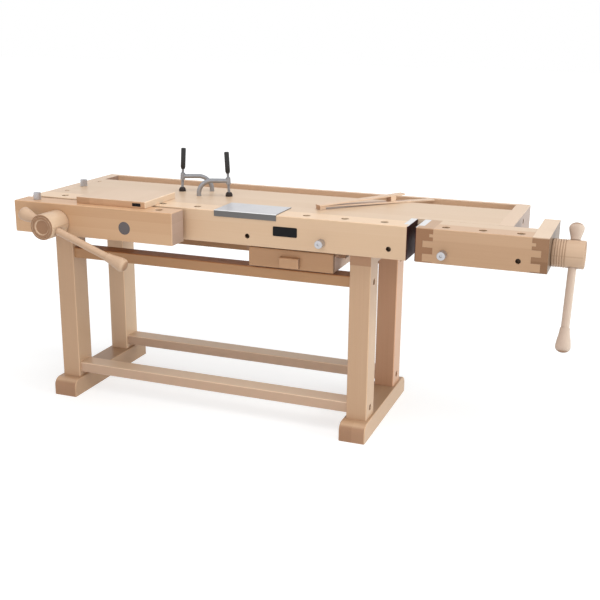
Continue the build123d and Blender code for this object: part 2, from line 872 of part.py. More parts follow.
def high_hook():
    x, setback, angle = hook_high_place
    y = slab_back - setback
    level = hook_rise + hook_t + loose
    block_x = hook_high_length - hook_block_inset - hook_block
    block_height = level + hook_high_lift + hook_t / 2
    slope = degrees(atan2(hook_high_lift, block_x))
    lath = Box(hook_high_length, hook_width, hook_t, align=low_corner)
    lath = Pos(0, -hook_width / 2, level) * Rot(0, -slope, 0) * lath
    end_block = Pos(block_x, -hook_width / 2, 0) * Box(hook_block, hook_width, block_height, align=low_corner)
    return Pos(x, y, top_z) * Rot(0, 0, angle) * (lath + end_block)


os.makedirs("parts", exist_ok=True)
for side in leg_xs:
    save(f"foot_{side}", foot(side))
    save(f"bearer_{side}", bearer(side))
    save(f"end_cap_{side}", end_cap(side))
    for place, y_mid in zip(("front", "back"), leg_mid_ys):
        save(f"leg_{place}_{side}", leg(side, y_mid))
for level, z_low in stretcher_zs.items():
    for place, y_mid in zip(("front", "back"), leg_mid_ys):
        save(f"stretcher_{level}_{place}", stretcher(y_mid, z_low))
save("frame_bolts", *frame_bolts())
save("front_apron", front_apron())
save("bench_jaw_block", bench_jaw_block())
save("main_top", main_top())
save("rear_batten", rear_batten())
save("back_rail", back_rail())
save("tray_bottom", tray_bottom())
save("nameplate", nameplate())
save("drawer_front", drawer_front())
save("drawer_sides", drawer_side(), mirrored(drawer_side()))
save("drawer_back", drawer_back())
save("drawer_bottom", drawer_bottom())
save("drawer_handle", drawer_handle())
save("drawer_runners", runner(), mirrored(runner()))
save("vise_nuts", *vise_nuts())
save("front_jaw", front_jaw())
save("front_guide_rod", front_guide_rod())
save("front_screw", front_place * vise_screw(front_screw_reach, jaw_thickness))
save("front_hub", front_place * vise_hub(0))
save("front_bar", front_place * vise_bar(front_bar_length, front_near_knob))
save("front_knobs", *vise_knobs(front_place, front_bar_length, front_near_knob))
save("tail_front_board", tail_front_board())
save("tail_jaw_block", tail_jaw_block())
save("tail_end_block", tail_end_block())
save("tail_cover", tail_cover())
save("tail_nut_block", tail_nut_block())
save("tail_guide_rod", tail_guide_rod())
save("tail_screw", tail_place * vise_screw(tail_screw_reach, tail_end_t))
save("tail_hub", tail_place * vise_hub(hub_groove_count))
save("tail_bar", tail_place * vise_bar(tail_bar_length, tail_near_knob))
save("tail_knobs", *vise_knobs(tail_place, tail_bar_length, tail_near_knob))
save("bench_jaw_plate", jaw_plate(jaw_face_x, jaw_face_x - plate_flange, tail_slot))
save("tail_jaw_plate", jaw_plate(tail_x, tail_x + plate_flange, tail_back))
save("edge_plate", edge_plate())
save("bench_board", bench_board())
save("dog_jaw", steel_dog(jaw_dog_x, jaw_mid))
save("dog_top", steel_dog(side_hole_x, side_hole_ys[side_dog_index]))
save("peg_apron", face_peg(apron_peg_x))
save("peg_tail", face_peg(tail_x + tail_peg_x))
for index, name in enumerate(("left", "right")):
    save(f"hold_down_{name}_arm", clamp_place(index) * clamp_arm())
    save(f"hold_down_{name}_spindle", clamp_place(index) * clamp_spindle())
    save(f"hold_down_{name}_pad", clamp_place(index) * clamp_pad())
save("bench_hooks", low_hook(), high_hook())
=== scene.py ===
import json
import math
import bmesh
import bpy
from mathutils import Matrix, Vector


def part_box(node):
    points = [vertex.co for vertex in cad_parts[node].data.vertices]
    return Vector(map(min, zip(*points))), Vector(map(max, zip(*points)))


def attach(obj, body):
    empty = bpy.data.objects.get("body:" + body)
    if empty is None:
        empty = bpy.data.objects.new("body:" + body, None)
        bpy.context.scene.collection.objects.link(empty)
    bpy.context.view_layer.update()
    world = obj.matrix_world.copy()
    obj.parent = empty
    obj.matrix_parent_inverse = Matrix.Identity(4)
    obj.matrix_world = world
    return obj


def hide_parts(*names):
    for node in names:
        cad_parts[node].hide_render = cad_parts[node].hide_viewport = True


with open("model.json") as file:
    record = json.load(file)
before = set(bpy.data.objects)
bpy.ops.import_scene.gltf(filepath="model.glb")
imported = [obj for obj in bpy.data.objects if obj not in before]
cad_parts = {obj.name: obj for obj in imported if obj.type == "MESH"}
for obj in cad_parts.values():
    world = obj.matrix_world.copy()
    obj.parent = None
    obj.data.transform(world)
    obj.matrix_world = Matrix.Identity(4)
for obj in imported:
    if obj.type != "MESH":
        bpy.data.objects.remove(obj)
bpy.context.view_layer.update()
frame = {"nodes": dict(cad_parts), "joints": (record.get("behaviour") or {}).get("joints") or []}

nodes = frame["nodes"]
joints = {joint["name"]: joint for joint in frame["joints"]}

# Trestle base
# Two sled feet, four legs and two bearers in oiled beech, joined by mortise and tenon.
# Each foot is glued up from two boards, which show on its rounded ends.
along_x = Vector((1, 0, 0))
along_y = Vector((0, 1, 0))
along_z = Vector((0, 0, 1))
plain_beech = {"pale": (0.67, 0.455, 0.305, 1), "deep": (0.52, 0.32, 0.19, 1), "end": (0.525, 0.32, 0.205, 1)}
light_beech = {"pale": (0.82, 0.61, 0.44, 1), "deep": (0.69, 0.48, 0.32, 1), "end": (0.43, 0.275, 0.185, 1)}
# The left back leg's colours are painted paler as painted light, and the right back leg's darker and redder
# as painted shade.
painted_lit_leg_beech = {**light_beech, "pale": (0.92, 0.68, 0.48, 1), "deep": (0.80, 0.545, 0.355, 1)}
painted_shade_leg_beech = {**plain_beech, "pale": (0.70, 0.40, 0.255, 1), "deep": (0.54, 0.285, 0.165, 1)}
leg_beech = {"leg_front_left": plain_beech, "leg_front_right": plain_beech,
             "leg_back_left": painted_lit_leg_beech, "leg_back_right": painted_shade_leg_beech}
untinted = (1, 1, 1, 1)
broad_scale = (0.8, 9, 9)
streak_scale = (2.6, 170, 170)
fleck_scale = (130, 800, 800)
pore_scale = (700, 700, 700)
fleck_size = 0.22
palest_tone = -0.12
ring_spacing = 0.0046
ring_wander = 0.016
ring_sharpness = 3.0
heart_spread = 0.09
heart_depth_spread = 0.07
heart_least_depth = 0.02
gritty_end = (0.78, 0.70, 0.62, 1)
darkest_end = (0.72, 0.68, 0.64, 1)
stave_gap = 0.0005
seam_width = 0.00035
seam_brown = (0.30, 0.17, 0.09, 1)
seam_shade = 0.28
# Colour and share of the painted shade down bores.
bore_shadow_colour = (0.035, 0.018, 0.009, 1)
bore_shade = 0.85
bore_depths = (0.001, 0.010)
end_slopes = (0.62, 0.86)
top_slopes = (0.5, 0.8)
edge_turn = (0.995, 0.86)
# Share of painted highlight laid along edges.
edge_highlight = 0.4
wood_edge_radius = 0.0016
wood_relief = (0.05, 0.0004)
wood_roughness = 0.34
end_roughness = 0.18
oiled_gloss = 0.32


def add(tree, kind, *inputs, **settings):
    """Adds a node with its settings, and feeds its inputs in order from values or other sockets."""
    made = tree.nodes.new(kind)
    for name, value in settings.items():
        setattr(made, name, value)
    for socket, value in zip(made.inputs, inputs):
        if isinstance(value, bpy.types.NodeSocket):
            tree.links.new(value, socket)
        elif value is not None:
            socket.default_value = value
    return made


def maths(tree, operation, *inputs):
    """The result of a math node."""
    return add(tree, "ShaderNodeMath", *inputs, operation=operation).outputs[0]


def vectors(tree, operation, *inputs):
    """The result of a vector math node that gives a vector."""
    return add(tree, "ShaderNodeVectorMath", *inputs, operation=operation).outputs[0]


def parted(tree, vector):
    """The three parts of a vector."""
    return add(tree, "ShaderNodeSeparateXYZ", vector).outputs


def ramp(tree, value, start, end, low=0.0, high=1.0):
    """A value that goes from low to high while another goes from its start to its end."""
    return add(tree, "ShaderNodeMapRange", value, start, end, low, high).outputs[0]


def blended(tree, factor, first, second, blend="MIX"):
    """Two colours mixed by a factor."""
    made = add(tree, "ShaderNodeMix", factor, data_type="RGBA", blend_type=blend)
    for socket, value in zip(made.inputs[6:8], (first, second)):
        if isinstance(value, bpy.types.NodeSocket):
            tree.links.new(value, socket)
        else:
            socket.default_value = value
    return made.outputs[2]


def noise(tree, vector, detail=2.0):
    """Smooth noise at the scale of the coordinates that it is given."""
    made = add(tree, "ShaderNodeTexNoise", vector)
    made.inputs["Scale"].default_value = 1.0
    made.inputs["Detail"].default_value = detail
    return made.outputs[0]


def new_group(name, inputs, outputs):
    """An empty shader group with its named inputs and outputs, and the nodes that hold them."""
    group = bpy.data.node_groups.new(name, "ShaderNodeTree")
    for label, kind in inputs:
        group.interface.new_socket(label, in_out="INPUT", socket_type=f"NodeSocket{kind}")
    for label, kind in outputs:
        group.interface.new_socket(label, in_out="OUTPUT", socket_type=f"NodeSocket{kind}")
    return group, group.nodes.new("NodeGroupInput").outputs, group.nodes.new("NodeGroupOutput").inputs


def beech_figure():
    """Beech with its staves, growth rings, streaks and short flecks, for a board with its grain along X."""
    sockets = [("Place", "Vector"), ("Facing", "Vector"), ("Stave", "Vector"), ("Shift", "Vector"),
               ("Seed", "Vector"), ("Climb", "Float"), ("Pale", "Color"), ("Deep", "Color"), ("End", "Color")]
    group, given, result = new_group(
        "Beech Figure", sockets, [("Colour", "Color"), ("Roughness", "Float"), ("Height", "Float")])
    cell = vectors(group, "DIVIDE", vectors(group, "ADD", given["Place"], given["Shift"]), given["Stave"])
    part = vectors(group, "FRACTION", cell)
    stave = vectors(group, "FLOOR", cell)
    key = vectors(group, "ADD", stave, given["Seed"])
    dice = add(group, "ShaderNodeTexWhiteNoise", key, noise_dimensions="3D").outputs
    chance = parted(group, dice["Color"])
    moved = vectors(group, "MULTIPLY_ADD", dice["Color"], (9, 9, 9), given["Place"])

    def stretched(scale):
        return vectors(group, "MULTIPLY", moved, scale)

    broad = noise(group, stretched(broad_scale))
    streak = noise(group, stretched(streak_scale), 4.0)
    pores = noise(group, stretched(pore_scale))
    local = vectors(group, "MULTIPLY", vectors(group, "SUBTRACT", part, (0.5, 0.5, 0.5)), given["Stave"])
    axes = parted(group, local)
    heart_y = maths(group, "MULTIPLY_ADD", maths(group, "SUBTRACT", chance[0], 0.5), heart_spread, axes[1])
    heart_depth = maths(group, "MULTIPLY_ADD", chance[1], heart_depth_spread, heart_least_depth)
    heart_z = maths(group, "ADD", heart_depth, axes[2])
    squares = maths(group, "ADD", maths(group, "MULTIPLY", heart_y, heart_y),
                    maths(group, "MULTIPLY", heart_z, heart_z))
    radius = maths(group, "MULTIPLY_ADD", broad, ring_wander, maths(group, "SQRT", squares))
    ring = maths(group, "FRACT", maths(group, "DIVIDE", radius, ring_spacing))
    ring = maths(group, "POWER", ring, ring_sharpness)
    spots = add(group, "ShaderNodeTexVoronoi", stretched(fleck_scale))
    spots.inputs["Scale"].default_value = 1.0
    fleck = maths(group, "LESS_THAN", spots.outputs["Distance"], fleck_size)
    tone = palest_tone
    for source, weight in ((broad, 0.55), (ring, 0.10), (streak, 0.30), (dice["Value"], 0.42), (fleck, 0.10)):
        tone = maths(group, "MULTIPLY_ADD", source, weight, tone)
    level = parted(group, stave)[2]
    tone = maths(group, "MULTIPLY_ADD", maths(group, "SUBTRACT", level, 1.0), given["Climb"], tone)
    tone = maths(group, "MINIMUM", maths(group, "MAXIMUM", tone, 0.0), 1.0)
    face = blended(group, tone, given["Pale"], given["Deep"])
    sides = parted(group, vectors(group, "ABSOLUTE", local))
    halves = parted(group, vectors(group, "MULTIPLY", given["Stave"], (0.5, 0.5, 0.5)))
    seam_y = maths(group, "SUBTRACT", halves[1], sides[1])
    seam_z = maths(group, "SUBTRACT", halves[2], sides[2])
    seam = maths(group, "LESS_THAN", maths(group, "MINIMUM", seam_y, seam_z), seam_width)
    facing = parted(group, vectors(group, "ABSOLUTE", given["Facing"]))
    across = ramp(group, facing[0], *end_slopes)
    grit = maths(group, "MULTIPLY_ADD", pores, 0.6, maths(group, "MULTIPLY", ring, 0.45))
    end = blended(group, grit, given["End"], gritty_end, "MULTIPLY")
    end = blended(group, dice["Value"], end, darkest_end, "MULTIPLY")
    joined = blended(group, across, face, end)
    joined = blended(group, maths(group, "MULTIPLY", seam, seam_shade), joined, seam_brown)
    group.links.new(joined, result["Colour"])
    rough = maths(group, "MULTIPLY_ADD", streak, 0.06, wood_roughness)
    rough = maths(group, "MULTIPLY_ADD", across, end_roughness, rough)
    group.links.new(rough, result["Roughness"])
    relief = maths(group, "MULTIPLY_ADD", streak, 0.7, maths(group, "MULTIPLY", pores, 0.3))
    group.links.new(relief, result["Height"])
    return group


beech_group = beech_figure()


def new_material(name):
    """A material with its Principled shader, ready for its own nodes."""
    material = bpy.data.materials.new(name)
    material.use_nodes = True
    return material, material.node_tree, material.node_tree.nodes["Principled BSDF"]


def rounded_normal(tree, radius):
    """The normal of edges rounded by hand."""
    return add(tree, "ShaderNodeBevel", radius, samples=4).outputs[0]


def near_edge(tree, rounded):
    """How near a point is to an edge, from how far its rounded normal turns away from its face."""
    sharp = tree.nodes.new("ShaderNodeNewGeometry").outputs["Normal"]
    turned = add(tree, "ShaderNodeVectorMath", rounded, sharp, operation="DOT_PRODUCT").outputs["Value"]
    return ramp(tree, turned, *edge_turn)


def add_relief(tree, shader, rounded, height, strength, distance):
    """Lays fine relief over the rounded edges."""
    bump = add(tree, "ShaderNodeBump")
    tree.links.new(rounded, bump.inputs["Normal"])
    bump.inputs["Strength"].default_value = strength
    bump.inputs["Distance"].default_value = distance
    tree.links.new(height, bump.inputs["Height"])
    tree.links.new(bump.outputs[0], shader.inputs["Normal"])


def deep_inside(tree, place, low, high):
    """How much painted shade a point gets from how deep it lies below a piece's outer faces: none at the
    skin, and most down a hole.
    """
    past_low = vectors(tree, "SUBTRACT", place, low)
    before_high = vectors(tree, "SUBTRACT", high, place)
    depth = parted(tree, vectors(tree, "MINIMUM", past_low, before_high))
    least = maths(tree, "MINIMUM", maths(tree, "MINIMUM", depth[0], depth[1]), depth[2])
    return ramp(tree, least, *bore_depths, 0.0, bore_shade)


def beech(name, low, high, grain, staves=(1, 1), colours=plain_beech, climb=0.0, paint_bore_shade=False):
    """Beech for a piece between two corners: grain, staves across and through, and how staves darken upwards.

    A colour set can also paint light and shade into the long faces, with one tint for the faces that look up
    and another for the upright ones.
    """
    material, tree, shader = new_material(f"Beech {name}")
    turn = grain.rotation_difference(along_x)
    corners = [turn @ Vector((x, y, z))
               for x in (low.x, high.x) for y in (low.y, high.y) for z in (low.z, high.z)]
    least = Vector([min(corner[axis] for corner in corners) for axis in range(3)])
    size = Vector([max(corner[axis] for corner in corners) for axis in range(3)]) - least
    margin = Vector((size.x, stave_gap, stave_gap))
    stave = Vector((3 * size.x, size.y / staves[0], size.z / staves[1])) + margin
    coordinates = tree.nodes.new("ShaderNodeTexCoord").outputs
    to_grain = turn.to_euler()
    place = add(tree, "ShaderNodeMapping", coordinates["Object"], None, to_grain)
    facing = add(tree, "ShaderNodeMapping", coordinates["Normal"], None, to_grain, vector_type="NORMAL")
    made = add(tree, "ShaderNodeGroup", node_tree=beech_group)
    tree.links.new(place.outputs[0], made.inputs["Place"])
    tree.links.new(facing.outputs[0], made.inputs["Facing"])
    made.inputs["Stave"].default_value = stave
    made.inputs["Shift"].default_value = margin / 2 - least
    made.inputs["Seed"].default_value = 10 * (low + high)
    made.inputs["Climb"].default_value = climb
    for label in ("Pale", "Deep", "End"):
        made.inputs[label].default_value = colours[label.lower()]
    rounded = rounded_normal(tree, wood_edge_radius)
    # Edges are painted towards the pale colour as a painted highlight.
    painted_edge_highlight = maths(tree, "MULTIPLY", near_edge(tree, rounded), edge_highlight)
    colour = blended(tree, painted_edge_highlight, made.outputs["Colour"], colours["pale"])
    # Painted light and shade: faces that look up and upright long faces get their own tints, and end grain
    # stays untinted.
    if "sides" in colours:
        painted_light_facing_up = ramp(tree, parted(tree, coordinates["Normal"])[2], *top_slopes)
        along = maths(tree, "ABSOLUTE", parted(tree, facing.outputs[0])[0])
        tint = blended(tree, painted_light_facing_up, colours["sides"], colours["tops"])
        tint = blended(tree, ramp(tree, along, *end_slopes), tint, untinted)
        colour = blended(tree, 1.0, colour, tint, "MULTIPLY")
    # Bores are painted dark down their walls as painted shade.
    if paint_bore_shade:
        colour = blended(tree, deep_inside(tree, coordinates["Object"], low, high), colour, bore_shadow_colour)
    tree.links.new(colour, shader.inputs["Base Color"])
    tree.links.new(made.outputs["Roughness"], shader.inputs["Roughness"])
    shader.inputs["Specular IOR Level"].default_value = oiled_gloss
    add_relief(tree, shader, rounded, made.outputs["Height"], *wood_relief)
    return material


def dress(node, material):
    """Gives a CAD node its finish."""
    nodes[node].material_slots[0].material = material


def dress_beech(node, grain, staves=(1, 1), colours=plain_beech, climb=0.0, paint_bore_shade=False):
    """Gives a CAD node its own beech."""
    dress(node, beech(node, *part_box(node), grain, staves, colours, climb, paint_bore_shade))


for side in ("left", "right"):
    dress_beech(f"foot_{side}", along_y, (2, 1))
    dress_beech(f"bearer_{side}", along_y)
    for place in ("front", "back"):
        leg = f"leg_{place}_{side}"
        dress_beech(leg, along_z, (1, 1), leg_beech[leg])

# Stretchers
# Four beech rails that tie the two trestles together, each drawn up by a bolt at either end.
# The upper stretchers' colours are darkened and reddened as painted shade, most on the faces that look up.
shaded_beech = {**plain_beech, "pale": (0.50, 0.28, 0.14, 1), "deep": (0.38, 0.19, 0.085, 1),
                "sides": untinted, "tops": (1.0, 0.78, 0.65, 1)}
# The lower stretchers' faces that look up are painted paler as painted light, and their upright faces darker
# as painted shade.
top_lit_beech = {**light_beech, "sides": (0.84, 0.81, 0.84, 1), "tops": (1.15, 1.18, 1.20, 1)}
stretcher_beech = {"lower": top_lit_beech, "upper": shaded_beech}
for level in ("lower", "upper"):
    for place in ("front", "back"):
        dress_beech(f"stretcher_{level}_{place}", along_x, (1, 1), stretcher_beech[level])

# Frame bolts
# Socket-head bolts sit in counterbores and draw the stretchers up against the legs, into steel cross dowels.
# Four more hold the end caps to the slab. All have a dark oxide finish.
bolt_seat_depth = 0.012
stub_length = 0.014
dowel_setback = 0.045
cap_bolt_setbacks = {"left": (0.116, 0.246), "right": (0.065, 0.268)}
cap_bolt_drop = 0.033
bolt_profile = [(0, -0.003), (0.004, -0.003, 6), (0.004, -0.007, 6), (0.0082, -0.007), (0.009, -0.0062),
                (0.009, 0), (0.005, 0), (0.005, 0.1), (0, 0.1)]
dowel_profile = [(0, -0.014), (0.003, -0.014), (0.003, -0.016), (0.0072, -0.016), (0.008, -0.0152),
                 (0.008, 0.0152), (0.0072, 0.016), (0, 0.016)]
cloud_scale = (14, 14, 14)
mark_shade = 0.72
mark_roughness = 0.22
metal_edge_radius = 0.0006
metal_relief = (0.12, 0.0002)
sharp_angle = math.radians(35)


def brushed_metal(name, colour, roughness, fine=(40, 900, 900), metallic=1.0):
    """Metal or hard plastic with drawn lines along X and soft cloudy marks."""
    material, tree, shader = new_material(name)
    place = tree.nodes.new("ShaderNodeTexCoord").outputs["Object"]
    lines = noise(tree, vectors(tree, "MULTIPLY", place, fine), 3.0)
    clouds = noise(tree, vectors(tree, "MULTIPLY", place, cloud_scale), 3.0)
    darker = tuple(mark_shade * channel for channel in colour[:3]) + (1,)
    mark = maths(tree, "MULTIPLY_ADD", lines, 0.5, maths(tree, "MULTIPLY", clouds, 0.5))
    tree.links.new(blended(tree, mark, colour, darker), shader.inputs["Base Color"])
    rough = maths(tree, "MULTIPLY_ADD", mark, mark_roughness, roughness)
    tree.links.new(rough, shader.inputs["Roughness"])
    shader.inputs["Metallic"].default_value = metallic
    add_relief(tree, shader, rounded_normal(tree, metal_edge_radius), lines, *metal_relief)
    return material


def shaped(name, shell, finish):
    """An object from a mesh in the making, smooth except at its sharp edges."""
    bmesh.ops.recalc_face_normals(shell, faces=shell.faces)
    mesh = bpy.data.meshes.new(name)
    shell.to_mesh(mesh)
    shell.free()
    mesh.polygons.foreach_set("use_smooth", [True] * len(mesh.polygons))
    mesh.set_sharp_from_angle(angle=sharp_angle)
    mesh.materials.append(finish)
    piece = bpy.data.objects.new(name, mesh)
    bpy.context.scene.collection.objects.link(piece)
    return piece


def revolved(name, profile, place, finish, sides=48):
    """A turned piece: pairs of a radius and a height, spun about a place's Z axis.

    A third number makes a ring with that many flat sides.
    """
    shell = bmesh.new()
    rings = []
    for radius, height, *flats in profile:
        ring = []
        for index in range(sides if radius else 1):
            angle = 2 * math.pi * index / sides
            flat = 2 * math.pi / flats[0] if flats else 0
            reach = radius / math.cos(angle % flat - flat / 2) if flats else radius
            spot = Vector((reach * math.cos(angle), reach * math.sin(angle), height))
            ring.append(shell.verts.new(place @ spot))
        rings.append(ring)
    for lower, upper in zip(rings, rings[1:]):
        for index in range(sides):
            after = index + 1
            around = (lower[index % len(lower)], lower[after % len(lower)],
                      upper[after % len(upper)], upper[index % len(upper)])
            shell.faces.new(dict.fromkeys(around))
    return shaped(name, shell, finish)


def fit(piece, body, slot, *stands_for):
    """Lets a piece move with its body and hides the CAD nodes that it stands for. Its slot is not used."""
    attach(piece, body)
    if stands_for:
        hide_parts(*stands_for)


def new_tree(name, inputs):
    """An empty geometry tree with its named inputs, and the nodes that hold them and its result."""
    tree = bpy.data.node_groups.new(name, "GeometryNodeTree")
    for label, kind in inputs:
        tree.interface.new_socket(label, in_out="INPUT", socket_type=f"NodeSocket{kind}")
    tree.interface.new_socket("Geometry", in_out="OUTPUT", socket_type="NodeSocketGeometry")
    return tree, tree.nodes.new("NodeGroupInput").outputs, tree.nodes.new("NodeGroupOutput").inputs


def placed_fasteners():
    """A tree that sets one fastener on every point of a mesh, all turned the same way."""
    tree, given, result = new_tree("Placed Fasteners", [
        ("Places", "Geometry"), ("Fastener", "Object"), ("Turn", "Vector"), ("Finish", "Material")])
    shape = add(tree, "GeometryNodeObjectInfo", given["Fastener"]).outputs["Geometry"]
    turn = add(tree, "FunctionNodeEulerToRotation", given["Turn"])
    copies = add(tree, "GeometryNodeInstanceOnPoints", given["Places"], None, shape)
    tree.links.new(turn.outputs[0], copies.inputs["Rotation"])
    whole = add(tree, "GeometryNodeRealizeInstances", copies.outputs[0])
    dressed = add(tree, "GeometryNodeSetMaterial", whole.outputs[0], None, given["Finish"])
    tree.links.new(dressed.outputs[0], result["Geometry"])
    return tree


def keep_result(piece):
    """Replaces a piece's mesh by what its modifiers make of it."""
    solid = bpy.data.meshes.new_from_object(piece.evaluated_get(bpy.context.evaluated_depsgraph_get()))
    piece.modifiers.clear()
    piece.data = solid


def grown(name, tree, settings, points=()):
    """A plain mesh object that a geometry tree makes from points and its named settings."""
    mesh = bpy.data.meshes.new(name)
    mesh.from_pydata(points, [], [])
    piece = bpy.data.objects.new(name, mesh)
    bpy.context.scene.collection.objects.link(piece)
    modifier = piece.modifiers.new(tree.name, "NODES")
    modifier.node_group = tree
    for item in tree.interface.items_tree:
        if item.name in settings:
            modifier[item.identifier] = settings[item.name]
    keep_result(piece)
    return piece


dark_steel = brushed_metal("Dark steel", (0.16, 0.14, 0.14, 1), 0.38, (500, 500, 500))
fastener_tree = placed_fasteners()
bolt = revolved("bolt", bolt_profile, Matrix(), dark_steel, 24)
dowel = revolved("cross_dowel", dowel_profile, Matrix(), dark_steel, 24)
dowel_places = []
for side, step in (("left", 1), ("right", -1)):
    bolt_places = []
    for level in ("lower", "upper"):
        for place in ("front", "back"):
            rail_low, rail_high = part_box(f"stretcher_{level}_{place}")
            leg_low, leg_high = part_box(f"leg_{place}_{side}")
            middle = (rail_low + rail_high) / 2
            outer, rail_end = (leg_low.x, rail_low.x) if side == "left" else (leg_high.x, rail_high.x)
            bolt_places.append((outer + step * bolt_seat_depth, middle.y, middle.z))
            dowel_places.append((rail_end + step * (stub_length + dowel_setback), middle.y, middle.z))
    cap_low, cap_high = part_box(f"end_cap_{side}")
    cap_end = cap_low.x if side == "left" else cap_high.x
    seat = cap_end + step * bolt_seat_depth
    for setback in cap_bolt_setbacks[side]:
        bolt_places.append((seat, cap_low.y + setback, cap_high.z - cap_bolt_drop))
    quarter_turn = (0, step * math.pi / 2, 0)
    settings = {"Fastener": bolt, "Turn": quarter_turn, "Finish": dark_steel}
    bolts = grown(f"bolts_{side}", fastener_tree, settings, bolt_places)
    fit(bolts, "bench", "steel", "frame_bolts")
dowels = grown("cross_dowels", fastener_tree, {"Fastener": dowel, "Finish": dark_steel}, dowel_places)
fit(dowels, "bench", "steel", "frame_bolts")
for source in (bolt, dowel):
    bpy.data.objects.remove(source)

# Bench top
# The beech slab is glued up from narrow staves behind a deep front apron of three boards.
# End caps cross its ends, and a tray with a raised back rail runs behind it.
top_beech = {"pale": (0.82, 0.63, 0.46, 1), "deep": (0.74, 0.54, 0.37, 1), "end": (0.43, 0.28, 0.19, 1)}
rail_beech = {"pale": (0.75, 0.54, 0.385, 1), "deep": (0.58, 0.38, 0.24, 1), "end": (0.43, 0.28, 0.19, 1)}
# The end caps' upright faces are painted darker as painted shade.
cap_beech = {"pale": (0.71, 0.53, 0.39, 1), "deep": (0.67, 0.485, 0.345, 1), "end": (0.43, 0.28, 0.19, 1),
             "sides": (0.52, 0.48, 0.52, 1), "tops": untinted}
apron_beech = {"pale": (0.81, 0.60, 0.42, 1), "deep": (0.70, 0.48, 0.31, 1), "end": (0.43, 0.28, 0.19, 1)}
bare_gloss = 0.18


def unpolished(node):
    """Dulls a CAD node's finish to bare sanded wood."""
    shader = nodes[node].material_slots[0].material.node_tree.nodes["Principled BSDF"]
    shader.inputs["Specular IOR Level"].default_value = bare_gloss


dress_beech("main_top", along_x, (8, 1), top_beech)
dress_beech("front_apron", along_x, (1, 3), apron_beech, 0.0, True)
dress_beech("bench_jaw_block", along_y)
for side in ("left", "right"):
    dress_beech(f"end_cap_{side}", along_y, (1, 3), cap_beech)
    unpolished(f"end_cap_{side}")
dress_beech("rear_batten", along_x)
dress_beech("back_rail", along_x, (1, 2), rail_beech)
dress_beech("tray_bottom", along_x, (3, 1), top_beech)

# Steel jaw plates
# Two bent steel angles face the tail vise's gap, one on the bench and one on the vise. Their flanges are let
# into the top and ground bright with it, and their upright faces in the gap are painted near-black as painted
# shade.
fold_highlight_colour = (0.97, 0.97, 0.97, 1)
fold_slopes = (0.94, 0.99)
upright_gloss_shade = (0.32, 0.13, 0.14, 1)
sheet_lines = (900, 40, 900)
sheet_metallic = 0.45


def steel_with_painted_light(name, bright_colour, upright_shade_colour, roughness):
    """Steel that is bright where it faces up, with a painted highlight along its folds and painted shade on
    its upright faces, in colour and gloss.
    """
    material = brushed_metal(name, bright_colour, roughness, sheet_lines, sheet_metallic)
    tree = material.node_tree
    shader = tree.nodes["Principled BSDF"]
    bright = shader.inputs["Base Color"].links[0].from_socket
    upward = parted(tree, tree.nodes.new("ShaderNodeTexCoord").outputs["Normal"])[2]
    ground = ramp(tree, upward, *top_slopes)
    # Folds are painted near-white as a painted highlight.
    folded = ramp(tree, upward, *fold_slopes, 1.0, 0.0)
    fold_highlighted = blended(tree, folded, bright, fold_highlight_colour)
    # Upright faces take the painted shade colour, and their gloss is darkened as painted shade too.
    tree.links.new(blended(tree, ground, upright_shade_colour, fold_highlighted), shader.inputs["Base Color"])
    tree.links.new(blended(tree, ground, upright_gloss_shade, untinted), shader.inputs["Specular Tint"])
    return material


# The jaw plates' near-black upright colour is painted shade for the narrow gap.
jaw_steel = steel_with_painted_light("Jaw plate steel", (0.88, 0.87, 0.88, 1), (0.045, 0.010, 0.010, 1), 0.34)
for node in ("bench_jaw_plate", "tail_jaw_plate"):
    dress(node, jaw_steel)

# Plate on the apron
# A bare black plate with rounded corners, glued to the apron's face.
front_view = Matrix(((1, 0, 0, 0), (0, 0, -1, 0), (0, 1, 0, 0), (0, 0, 0, 1)))
plate_round_share = 0.12
matt_gloss = 0.15


def rounded_corners(low, high, radius, steps=6):
    """The outline of a rectangle with round corners."""
    points = []
    corners = ((high[0], high[1]), (low[0], high[1]), (low[0], low[1]), (high[0], low[1]))
    for quarter, (x, y) in enumerate(corners):
        centre_x = x + (-radius if x == high[0] else radius)
        centre_y = y + (-radius if y == high[1] else radius)
        for step in range(steps + 1):
            angle = math.pi / 2 * (quarter + step / steps)
            points.append((centre_x + radius * math.cos(angle), centre_y + radius * math.sin(angle)))
    return points


def extruded(name, outline, start, end, place, finish):
    """A closed outline in X and Y, drawn out along a place's Z axis between two heights."""
    shell = bmesh.new()
    rings = [[shell.verts.new(place @ Vector((x, y, height))) for x, y in outline]
             for height in (start, end)]
    for ring in rings:
        shell.faces.new(ring)
    for index in range(len(outline)):
        shell.faces.new((rings[0][index - 1], rings[0][index], rings[1][index], rings[1][index - 1]))
    return shaped(name, shell, finish)


def black_plate_on(name, low, high, front, back, body, *stands_for):
    """A thin black plate with round corners on a front face, between two corners in X and Z."""
    outline = rounded_corners(low, high, plate_round_share * (high[1] - low[1]))
    plate = extruded(name, outline, -back, -front, front_view, black_plate)
    fit(plate, body, "black_plate", *stands_for)


black_plate = brushed_metal("Black plate", (0.008, 0.008, 0.009, 1), 0.45, (60, 60, 60), 0.0)
black_plate.node_tree.nodes["Principled BSDF"].inputs["Specular IOR Level"].default_value = matt_gloss
plate_low, plate_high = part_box("nameplate")
black_plate_on("apron_plate", (plate_low.x, plate_low.z), (plate_high.x, plate_high.z),
               plate_low.y, plate_high.y, "bench", "nameplate")

# Drawer
# A beech box with a thick front and handle, hung by lips on two runners under the slab.
drawer_beech = {"pale": (0.58, 0.345, 0.20, 1), "deep": (0.46, 0.25, 0.13, 1), "end": (0.43, 0.275, 0.185, 1)}
